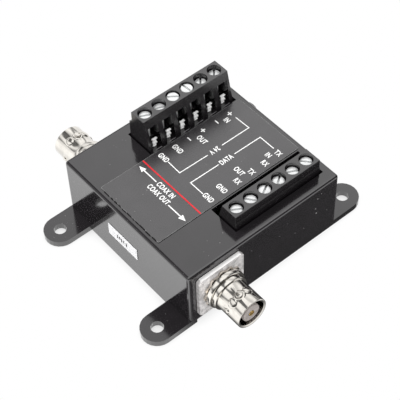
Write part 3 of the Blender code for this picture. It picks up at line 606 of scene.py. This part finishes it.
def add_housing(row, finishes):
    """Moulded row of six poles with round wells from the top and square wire windows."""
    node = f"{row.name}_terminal_housing"
    low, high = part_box(node)
    profile = [
        (row.entry, low.z),
        (row.back, low.z),
        (row.back, row.shoulder),
        (row.top_far, row.shoulder + abs(row.back - row.top_far)),
        (row.top_far, high.z),
        (row.top_near, high.z),
        (row.entry, LID_Z),
    ]
    shape = bmesh.new()
    face = shape.faces.new([shape.verts.new((low.x, y, z)) for y, z in profile])
    raised = bmesh.ops.extrude_face_region(shape, geom=[face])["geom"]
    points = [item for item in raised if isinstance(item, bmesh.types.BMVert)]
    bmesh.ops.translate(shape, vec=(high.x - low.x, 0, 0), verts=points)
    item = piece(node + "_moulding", shape, finishes["moulding"],
                 replaced=[node])
    inner = row.screw - row.toward * WINDOW_INNER
    outer = row.entry + row.toward * WINDOW_OUTER
    bottom, rim, above = high.z - WELL_DEPTH, high.z - WELL_LIP, high.z + CUT_PAST
    well = [(0, bottom), (WELL, bottom), (WELL, rim), (WELL + WELL_LIP, high.z),
            (WELL + WELL_LIP, above), (0, above)]
    wells = []
    windows = []
    slots = []
    for number in range(1, POLES + 1):
        x = row.pole_x(number)
        form = turned(well, ROUND, closed=False)
        wells.append(moved(form, Matrix.Translation((x, row.screw, 0))))
        windows.append(block(
            (x - HALF_WINDOW, min(inner, outer), row.floor),
            (x + HALF_WINDOW, max(inner, outer), row.ceiling),
        ))
        slots.append(block(
            (x - HALF_PIN, row.screw - HALF_PIN, low.z - CUT_PAST),
            (x + HALF_PIN, row.screw + HALF_PIN, row.floor + PIN_PAST_FLOOR),
        ))
    carve(item, "DIFFERENCE", joined(*windows), joined(*wells), joined(*slots))
    bevel(item, 0.10 * MM, angle=50)


# The clamp's outline: height, half width and how far it stands out, in millimetres
LEAF = (
    (0.00, 0.55, 0.10), (0.25, 0.62, -0.08), (0.50, 0.50, 0.10), (0.90, 0.60, 0.00),
    (1.20, 0.74, -0.16), (1.60, 0.76, -0.20), (1.95, 0.62, 0.00), (2.20, 0.54, 0.12),
    (2.50, 0.60, 0.06), (2.70, 0.76, -0.10), (3.00, 0.84, -0.24), (3.20, 0.80, -0.16),
    (3.30, 0.68, 0.06),
)
LEAF_TALL = {"rear": 1.0, "front": 0.9}
LEAF_LIFT = 0.02
LEAF_SHIFT = 0.15 * MM
LEAF_BACK = 0.35 * MM
SILL_LEFT = 0.9 * MM
SILL_RIGHT = 1.3 * MM
SILL_DEEP = 0.12 * MM
SILL_LOW = 0.02 * MM
SILL_HIGH = 0.12 * MM


def add_leaves(row, finishes):
    """In each wire window a stamped clamp before the contact strip, and below it a pale sill that
    is a painted highlight along the entry's foot.
    """
    clamps = []
    sills = []
    for number in range(1, POLES + 1):
        x = row.pole_x(number)
        clamps.append(loft([
            (
                row.floor + (LEAF_LIFT + z * LEAF_TALL[row.name]) * MM,
                x + LEAF_SHIFT,
                half * MM,
                row.leaf - row.toward * near * MM,
                row.leaf - row.toward * LEAF_BACK,
            )
            for z, half, near in LEAF
        ]))
        # Pale sill strip: a painted highlight at the foot of the window
        ledge = sorted((row.entry, row.entry + row.toward * SILL_DEEP))
        sills.append(block(
            (x - SILL_LEFT, ledge[0], LID_Z + SILL_LOW),
            (x + SILL_RIGHT, ledge[1], LID_Z + SILL_HIGH),
        ))
    piece(f"{row.name}_terminal_clamps", joined(*clamps), finishes["leaf"],
          smooth=60)
    piece(f"{row.name}_terminal_sills", joined(*sills), finishes["sill"])


SCREW_RIM = 0.22 * MM
SCREW_CROWN = 0.05 * MM
SCREW_HEAD = 1.6 * MM
SCREW_SHANK = 1.1 * MM
SCREW_PIN = 0.5 * MM
PLATE_GAP = 0.1 * MM
HALF_SLOT = 0.30 * MM
SLOT_DEPTH = 0.8 * MM


def make_screw(row, number, finishes):
    """A slotted cheese head with a round rim and its shank, at the CAD screw's place."""
    node = f"{row.name}_terminal_screw_{number}"
    low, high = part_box(node)
    radius = (high.x - low.x) / 2
    flat = radius - SCREW_RIM
    foot = low.z - high.z
    profile = [(0, SCREW_CROWN)]
    for i in range(1, 5):
        share = i / 4
        profile.append((flat * share, SCREW_CROWN * (1 - share * share)))
    for i in range(1, 4):
        angle = math.pi / 2 * i / 3
        profile.append((flat + SCREW_RIM * math.sin(angle), SCREW_RIM * (math.cos(angle) - 1)))
    profile.append((radius, -SCREW_HEAD))
    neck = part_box(f"{row.name}_pressure_plate_{number}")[1].z + PLATE_GAP - high.z
    if neck < -SCREW_HEAD:
        profile += [(SCREW_SHANK, -SCREW_HEAD), (SCREW_SHANK, neck)]
    else:
        neck = -SCREW_HEAD
    profile += [(SCREW_PIN, neck), (SCREW_PIN, foot), (0, foot)]
    item = piece(node + "_head", turned(profile, ROUND, closed=False), finishes["screw"],
                 f"{row.name}_screw_{number}", [node])
    slot = block((-2 * radius, -HALF_SLOT, -SLOT_DEPTH), (2 * radius, HALF_SLOT, 2 * SCREW_CROWN))
    turn = Matrix.Rotation(math.radians(row.degrees[number - 1]), 4, "Z")
    carve(item, "DIFFERENCE", moved(slot, turn))
    centre = Vector(((low.x + high.x) / 2, (low.y + high.y) / 2, high.z - SCREW_CROWN))
    item.data.transform(Matrix.Translation(centre))


# Label

LABEL_CORNER = 0.35 * MM
LABEL_EDGE = 0.11 * MM
EDGE_STEP = 0.01 * MM
STRIPE = (-10.66 * MM, -10.20 * MM)
LINE_WIDTH = 0.28
MINUS_WIDTH = 0.36
MARK_ARM = 0.75
PLUS_HALF = 0.19
ARROW_HALF = 0.17
ARROW_HEAD = 0.85
ARROW_TIP = 2.1
# Black dashes beside the label's left edge: a painted shadow under the film's edge
EDGE_SHADOW_SEED = 5
EDGE_SHADOW_START = -11.6
EDGE_SHADOW_END = 10.5
EDGE_SHADOW_LIFT = 0.02 * MM


def add_label(finishes):
    """Printed film on the lid, with its marks as thin raised ink; gives the ink's height."""
    low, high = LABEL_LOW, LABEL_HIGH
    inset = Vector((LABEL_EDGE, LABEL_EDGE))
    outer = rounded(low.xy, high.xy, LABEL_CORNER)
    inner = rounded(low.xy + inset, high.xy - inset, LABEL_CORNER - LABEL_EDGE)
    film = prism(inner, low.z, high.z)
    piece("lid_label_film", film, finishes["film"], replaced=["lid_label"])
    # A paler rim round the film: a painted highlight along its edge
    piece("lid_label_edge", ring(outer, inner, low.z, high.z - EDGE_STEP), finishes["clear"])
    ink = high.z + PRINT_LIFT
    stripe = block((STRIPE[0], low.y + LABEL_EDGE, ink),
                   (STRIPE[1], high.y - LABEL_EDGE, ink + PRINT_THICK))
    piece("label_red_stripe", stripe, finishes["red_ink"])
    lines = []
    for path in (
        ((-5.45, 7.4), (-5.6, 2.3), (4.3, 2.1)),
        ((9.7, 2.3), (19.7, 2.3), (19.5, 7.7)),
        ((-5.6, -7.6), (-5.6, -2.4), (4.4, -2.5)),
        ((10.2, -2.4), (19.7, -2.5), (19.7, -8.1)),
    ):
        lines.append(stroke(path, LINE_WIDTH, ink))
    lines.append(arrow(-12.4, 4.0, 11.5, ink))
    lines.append(arrow(-15.1, -4.4, -11.7, ink))
    for x, y in ((19.19, 9.94), (9.35, 10.06)):
        lines.append(plus(x, y, ink))
    for x, y in ((14.33, 9.90), (4.33, 10.11)):
        lines.append(stroke(((x, y - MARK_ARM), (x, y + MARK_ARM)), MINUS_WIDTH, ink))
    piece("label_circuit_lines", joined(*lines), finishes["white_ink"])
    # Painted shadow: black dashes along the label's left edge
    draw = random.Random(EDGE_SHADOW_SEED)
    shadow_dashes = []
    y = EDGE_SHADOW_START
    while y < EDGE_SHADOW_END:
        length = draw.uniform(0.5, 2.4)
        wide = draw.uniform(0.06, 0.12)
        x = low.x / MM + draw.uniform(-0.08, 0.04)
        shadow_dashes.append(block(
            ((x - wide) * MM, y * MM, LID_Z - EDGE_SHADOW_LIFT),
            ((x + wide) * MM, (y + length) * MM, high.z + EDGE_SHADOW_LIFT),
        ))
        y += length + draw.uniform(0.2, 0.8)
    piece("label_edge_shadow_dashes", joined(*shadow_dashes), finishes["label_shadow"])
    return ink


def stroke(path, width, z):
    """A flat line of a given width along (x, y) points in millimetres."""
    points = [Vector(point) for point in path]
    sides = [[], []]
    for i, point in enumerate(points):
        ways = []
        if i > 0:
            ways.append((point - points[i - 1]).normalized())
        if i < len(points) - 1:
            ways.append((points[i + 1] - point).normalized())
        normals = [Vector((-way.y, way.x)) for way in ways]
        mean = sum(normals, Vector((0, 0))).normalized()
        reach = width / 2 / mean.dot(normals[0])
        sides[0].append(point + mean * reach)
        sides[1].append(point - mean * reach)
    outline = [(p.x * MM, p.y * MM) for p in sides[0] + sides[1][::-1]]
    return prism(outline, z, z + PRINT_THICK)


def plus(x, y, z):
    """A printed plus centred at (x, y) in millimetres."""
    outline = []
    for turn in range(4):
        c, s = math.cos(turn * math.pi / 2), math.sin(turn * math.pi / 2)
        for a, b in ((MARK_ARM, -PLUS_HALF), (MARK_ARM, PLUS_HALF), (PLUS_HALF, PLUS_HALF)):
            outline.append(((x + a * c - b * s) * MM, (y + a * s + b * c) * MM))
    return prism(outline, z, z + PRINT_THICK)


def arrow(x, start, tip, z):
    """A printed arrow along Y, in millimetres."""
    neck = tip - math.copysign(ARROW_TIP, tip - start)
    outline = [
        (x - ARROW_HALF, start), (x + ARROW_HALF, start), (x + ARROW_HALF, neck),
        (x + ARROW_HEAD, neck), (x, tip), (x - ARROW_HEAD, neck), (x - ARROW_HALF, neck),
    ]
    return prism([(a * MM, b * MM) for a, b in outline], z, z + PRINT_THICK)


WORD_BOLD = 0.029
WORD_SPACE = 1.12
WORD_NARROW = 0.66


def add_word(name, text, x, y, size, turn, z, finishes):
    """A printed word centred at (x, y) in millimetres; turn is its reading direction."""
    curve = bpy.data.curves.new(name, "FONT")
    curve.body = text
    curve.size = size * MM
    curve.align_x = "CENTER"
    curve.align_y = "CENTER"
    curve.extrude = PRINT_THICK / 2
    curve.offset = WORD_BOLD * MM * size
    curve.space_character = WORD_SPACE
    item = bpy.data.objects.new(name, curve)
    bpy.context.scene.collection.objects.link(item)
    item.location = (x * MM, y * MM, z + PRINT_THICK / 2)
    item.rotation_euler = (0, 0, math.radians(turn))
    item.scale = (WORD_NARROW, 1, 1)
    curve.materials.append(finishes["white_ink"])
    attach(item, "box")


def add_words(z, finishes):
    """What each line carries; most words read towards -Y."""
    down = -90
    for name, text, x, y, size, turn in (
        ("word_coax_in", "COAX IN", -12.4, 0.0, 2.25, down),
        ("word_coax_out", "COAX OUT", -14.8, 0.2, 2.25, down),
        ("word_supply", "24 V", 6.95, 2.25, 2.30, 180),
        ("word_data", "DATA", 7.1, -2.55, 2.30, 0),
        ("word_supply_in", "IN", 16.86, 8.55, 2.30, down),
        ("word_supply_out", "OUT", 6.79, 7.55, 2.30, down),
        ("word_rear_ground_1", "GND", -5.47, 9.45, 2.30, down),
        ("word_rear_ground_2", "GND", -0.52, 9.36, 2.30, down),
        ("word_data_in_send", "TX", 19.39, -10.18, 2.30, down),
        ("word_data_in", "IN", 16.86, -8.94, 2.30, down),
        ("word_data_in_take", "RX", 14.17, -10.45, 2.30, down),
        ("word_data_out_send", "TX", 9.34, -10.34, 2.30, down),
        ("word_data_out", "OUT", 6.98, -7.98, 2.30, down),
        ("word_data_out_take", "RX", 4.26, -10.34, 2.30, down),
        ("word_front_ground_1", "GND", -5.44, -9.58, 2.30, down),
        ("word_front_ground_2", "GND", -0.63, -9.53, 2.30, down),
    ):
        add_word(name, text, x, y, size, turn, z, finishes)


BAR_HALF = 0.24 * MM
BAR_PROUD = 0.03 * MM
BAR_SUNK = 0.01 * MM
BARS = ((2.2, 0.0, 1.5), (1.25, 0.15, 1.3), (0.45, -0.1, 1.6), (-0.5, 0.1, 1.4), (-1.7, 0.0, 1.6))


def add_sticker(finishes):
    """Blank paper on the left wall with a few plain bars."""
    low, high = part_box("side_sticker")
    middle = (low + high) / 2
    item = piece("side_sticker_paper", block(low, high), finishes["paper"],
                 replaced=["side_sticker"])
    bevel(item, 0.03 * MM)
    bars = []
    for y, z, tall in BARS:
        at = middle + Vector((0, y * MM, z * MM))
        bars.append(block(
            (low.x - BAR_PROUD, at.y - BAR_HALF, at.z - tall / 2 * MM),
            (low.x + BAR_SUNK, at.y + BAR_HALF, at.z + tall / 2 * MM),
        ))
    piece("side_sticker_bars", joined(*bars), finishes["ink"])


# Jacks: distances are in millimetres, out of the wall along the jack's own Z

JACK_X = -16.7 * MM
JACK_Z = 11.55 * MM
BARREL = 4.8
MOUTH = 13.55
BORE = 4.1
BORE_FLOOR = 4.55
HOLE = 4.8
LUG_OUT = MOUTH - 4.2
LUG_TURN = 100
LUG_TOP = 5.55
BUMP_FOOT = BARREL - 0.12
HEAD_RIM = 0.22
FINE = 96
FLANGE_HALF = 7.7 * MM
FLANGE_CORNER = 0.9 * MM
GROOVE_HALF = 6.55 * MM
GROOVE_WIDTH = 0.22 * MM
TEETH = 12
TOOTH_TIP = 6.5 * MM
TOOTH_ROOT = 5.85 * MM

# Profiles of (radius, distance out of the wall)
NUT = (
    (HOLE, 2.15), (5.9, 2.15), (6.1, 2.35), (6.1, 3.45), (5.98, 3.65), (5.75, 3.75), (HOLE, 3.75),
)
SHELL = (
    (2.8, -7.8), (4.45, -7.8), (4.6, -7.65), (4.6, 3.85), (5.38, 3.85), (5.5, 3.97),
    (5.5, 4.95), (5.42, 5.13), (5.25, 5.20), (5.0, 5.20), (4.86, 5.28), (BARREL, 5.42),
    (BARREL, 13.30), (4.77, 13.46), (4.70, 13.53), (4.62, MOUTH), (4.50, 13.53),
    (BORE, 13.30), (BORE, BORE_FLOOR), (2.8, BORE_FLOOR),
)
BUSH = (
    (0.95, -7.8), (2.5, -7.8), (2.6, -7.7), (2.6, 4.8), (2.8, 5.0), (2.8, 13.0), (2.72, 13.12),
    (2.6, 13.15), (0.95, 13.15),
)
PIN = (
    (0, -10.8), (0.55, -10.8), (0.65, -10.7), (0.65, -7.8), (0.9, -7.8), (0.9, 13.2),
    (0.82, 13.35), (0.26, 13.35), (0.26, 8.15), (0, 8.15),
)
FLARE = (
    (0, BORE + 0.25), (1.75, BORE + 0.25), (1.75, 4.55), (1.55, 4.78), (1.25, 4.92), (0, 4.95),
)
PIT = ((0, 5.2), (0.2, 5.2), (0.24, 6.0), (0, 6.0))
# Bumps beside each lug: turn from it, shift along the barrel and radius
BUMPS = ((-35, 0.0, 1.45), (33, 0.05, 1.45), (70, -0.4, 0.85))


def jack_frame(side):
    """From the jack's own frame to its place on the wall at that side of Y."""
    upright = Matrix.Rotation(math.pi / 2, 4, "X")
    turn = Matrix.Rotation(0 if side < 0 else math.pi, 4, "Z") @ upright
    return Matrix.Translation((JACK_X, side * WALL_Y, JACK_Z)) @ turn


def jack_piece(name, shape, side, finish, replaced):
    """A piece made in the jack's own frame."""
    return piece(name, moved(shape, jack_frame(side)), finish, replaced=[replaced])


def scaled(profile):
    """A profile in metres from one in millimetres."""
    return [(radius * MM, z * MM) for radius, z in profile]


def on_barrel(degrees, out):
    """Turns a form made on Z so that it stands out of the barrel's side."""
    turn = Matrix.Rotation(math.radians(degrees), 4, "Z") @ Matrix.Rotation(math.pi / 2, 4, "Y")
    return Matrix.Translation((0, 0, out * MM)) @ turn


def dome(radius, foot, height, steps=32):
    """A round head on Z with a soft rim."""
    profile = [(0, foot), (radius, foot), (radius, height - HEAD_RIM)]
    for i in range(1, 5):
        angle = math.pi / 2 * i / 4
        profile.append((
            radius - HEAD_RIM + HEAD_RIM * math.cos(angle),
            height - HEAD_RIM + HEAD_RIM * math.sin(angle),
        ))
    profile.append((0, height + 0.04))
    return turned(scaled(profile), steps, closed=False)


def low_bump(foot, height=0.55, steps=40):
    """A round-topped swelling on Z that starts inside the barrel's wall."""
    profile = [(0, BORE + 0.2), (foot, BORE + 0.2), (foot, BUMP_FOOT)]
    for i in range(1, 8):
        angle = math.pi / 2 * i / 8
        profile.append((foot * math.cos(angle), BUMP_FOOT + height * math.sin(angle)))
    profile.append((0, BUMP_FOOT + height))
    return turned(scaled(profile), steps, closed=False)


def bore_out(item, side, low, high):
    """Opens a flat piece of the jack for the shell."""
    hole = turned(scaled([(0, low), (HOLE, low), (HOLE, high), (0, high)]), FINE, closed=False)
    carve(item, "DIFFERENCE", moved(hole, jack_frame(side)))


def add_flange(name, side, finishes):
    """Square plate with cut corners and a fine line round its face."""
    low, high = (-FLANGE_HALF, -FLANGE_HALF), (FLANGE_HALF, FLANGE_HALF)
    plate = prism(rounded(low, high, FLANGE_CORNER, 1), 0.1 * MM, 1.35 * MM)
    item = jack_piece(f"{name}_flange", plate, side, finishes["flange"],
                      f"{name}_flange_plate")
    bore_out(item, side, -2, 3)
    inner = GROOVE_HALF - GROOVE_WIDTH
    groove = ring(
        rounded((-GROOVE_HALF, -GROOVE_HALF), (GROOVE_HALF, GROOVE_HALF), 0.5 * MM, 1),
        rounded((-inner, -inner), (inner, inner), 0.4 * MM, 1),
        1.27 * MM, 1.5 * MM,
    )
    carve(item, "DIFFERENCE", moved(groove, jack_frame(side)))
    bevel(item, 0.14 * MM, 3)


def add_washer_and_nut(name, side, finishes):
    """Toothed washer with a steel finish under a round nut."""
    outline = []
    for i in range(TEETH * 4):
        angle = math.tau * i / (TEETH * 4)
        radius = TOOTH_TIP if i % 4 < 2 else TOOTH_ROOT
        outline.append((radius * math.cos(angle), radius * math.sin(angle)))
    washer = prism(outline, 1.45 * MM, 2.05 * MM)
    item = jack_piece(f"{name}_toothed_washer", washer, side, finishes["steel"],
                      f"{name}_lock_washer")
    bore_out(item, side, 0, 4)
    bevel(item, 0.06 * MM)
    jack_piece(f"{name}_round_nut", turned(scaled(NUT), FINE), side, finishes["nickel"],
               f"{name}_ring_nut")


def add_barrel(name, side, finishes):
    """Turned shell with two bayonet lugs on flared feet, and low bumps beside them."""
    item = jack_piece(f"{name}_bayonet_barrel", turned(scaled(SHELL), FINE), side,
                      finishes["nickel"], f"{name}_jack_shell")
    lugs = []
    flares = []
    bumps = []
    pits = []
    off_middle = Matrix.Translation((0.25 * MM, 0.30 * MM, 0))
    for turn in (LUG_TURN, LUG_TURN + 180):
        at = jack_frame(side) @ on_barrel(turn, LUG_OUT)
        lugs.append(moved(dome(1.0, BORE + 0.25, LUG_TOP), at))
        flares.append(moved(turned(scaled(FLARE), 40, closed=False), at))
        pits.append(moved(turned(scaled(PIT), 16, closed=False), at @ off_middle))
    for turn, shift, foot in BUMPS:
        for half in (0, 180):
            at = jack_frame(side) @ on_barrel(LUG_TURN + turn + half, LUG_OUT + shift)
            bumps.append(moved(low_bump(foot), at))
    carve(item, "UNION", joined(*flares), joined(*lugs), joined(*bumps), smooth=32)
    carve(item, "DIFFERENCE", joined(*pits), smooth=32)


def add_core(name, side, finishes):
    """Insulator and the slotted centre contact."""
    jack_piece(f"{name}_insulating_bush", turned(scaled(BUSH), 64), side,
               finishes["dielectric"], f"{name}_insulator")
    item = jack_piece(f"{name}_socket_pin", turned(scaled(PIN), 40, closed=False), side,
                      finishes["gold"], f"{name}_centre_contact")
    slot = block((-2 * MM, -0.15 * MM, 9.65 * MM), (2 * MM, 0.15 * MM, 14 * MM))
    carve(item, "DIFFERENCE", moved(slot, jack_frame(side)))


# Dust and small marks

DUST_SEED = 11
HALF_FILM = 12.5
WALL_DUST = (
    (18.5, 13.6, 0.22), (18.9, 11.4, 0.26), (19.1, 17.4, 0.20), (20.4, 18.6, 0.14),
    (11.0, 9.0, 0.14), (5.2, 12.5, 0.10), (-2.0, 10.0, 0.10), (14.3, 8.4, 0.12),
    (23.0, 9.5, 0.12), (8.0, 15.8, 0.08), (-5.0, 15.0, 0.10), (1.5, 5.6, 0.09),
)
TAB_TOP = 2 * MM


def add_dust(finishes):
    """Flat grains half sunk in the lid, the front wall, the tabs and the label."""
    draw = random.Random(DUST_SEED)
    grains = []

    def grain(matrix, size):
        shape = bmesh.new()
        bmesh.ops.create_icosphere(shape, subdivisions=1, radius=size)
        for point in shape.verts:
            point.co.x *= draw.uniform(0.7, 1.5)
            point.co.y *= draw.uniform(0.6, 1.1)
            point.co.z *= 0.25
        turn = Matrix.Rotation(draw.uniform(0, math.tau), 4, "Z")
        grains.append(moved(shape, matrix @ turn))

    for _ in range(26):
        x, y = draw.uniform(-25.5, -8.5), draw.uniform(-25.5, 25.5)
        z = LABEL_HIGH.z if abs(y) < HALF_FILM else LID_Z
        grain(Matrix.Translation((x * MM, y * MM, z)), draw.uniform(0.05, 0.10) * MM)
    for _ in range(18):
        x, y = draw.uniform(-8, 24), draw.uniform(-12.2, 12.2)
        grain(Matrix.Translation((x * MM, y * MM, LABEL_HIGH.z)), draw.uniform(0.04, 0.08) * MM)
    facing = Matrix.Rotation(math.pi / 2, 4, "X")
    for x, z, size in WALL_DUST:
        grain(Matrix.Translation((x * MM, -WALL_Y, z * MM)) @ facing, size * MM)
    for _ in range(14):
        x, y = draw.uniform(-38, -30), draw.choice((-22, 22)) + draw.uniform(-4, 4)
        grain(Matrix.Translation((x * MM, y * MM, TAB_TOP)), draw.uniform(0.05, 0.10) * MM)
    piece("dust_grains", joined(*grains), finishes["dust"])


def main():
    bpy.context.scene.view_settings.view_transform = "Standard"
    add_camera()
    add_world()
    add_floor()
    for name, at, power in LAMPS:
        add_lamp(name, at, power)
    finishes = make_materials()
    dress_nodes(finishes)
    for row in ROWS:
        add_housing(row, finishes)
        add_leaves(row, finishes)
        for number in range(1, POLES + 1):
            make_screw(row, number, finishes)
    add_words(add_label(finishes), finishes)
    add_sticker(finishes)
    for name, side in (("front", -1), ("rear", 1)):
        add_flange(name, side, finishes)
        add_washer_and_nut(name, side, finishes)
        add_barrel(name, side, finishes)
        add_core(name, side, finishes)
    add_dust(finishes)


main()
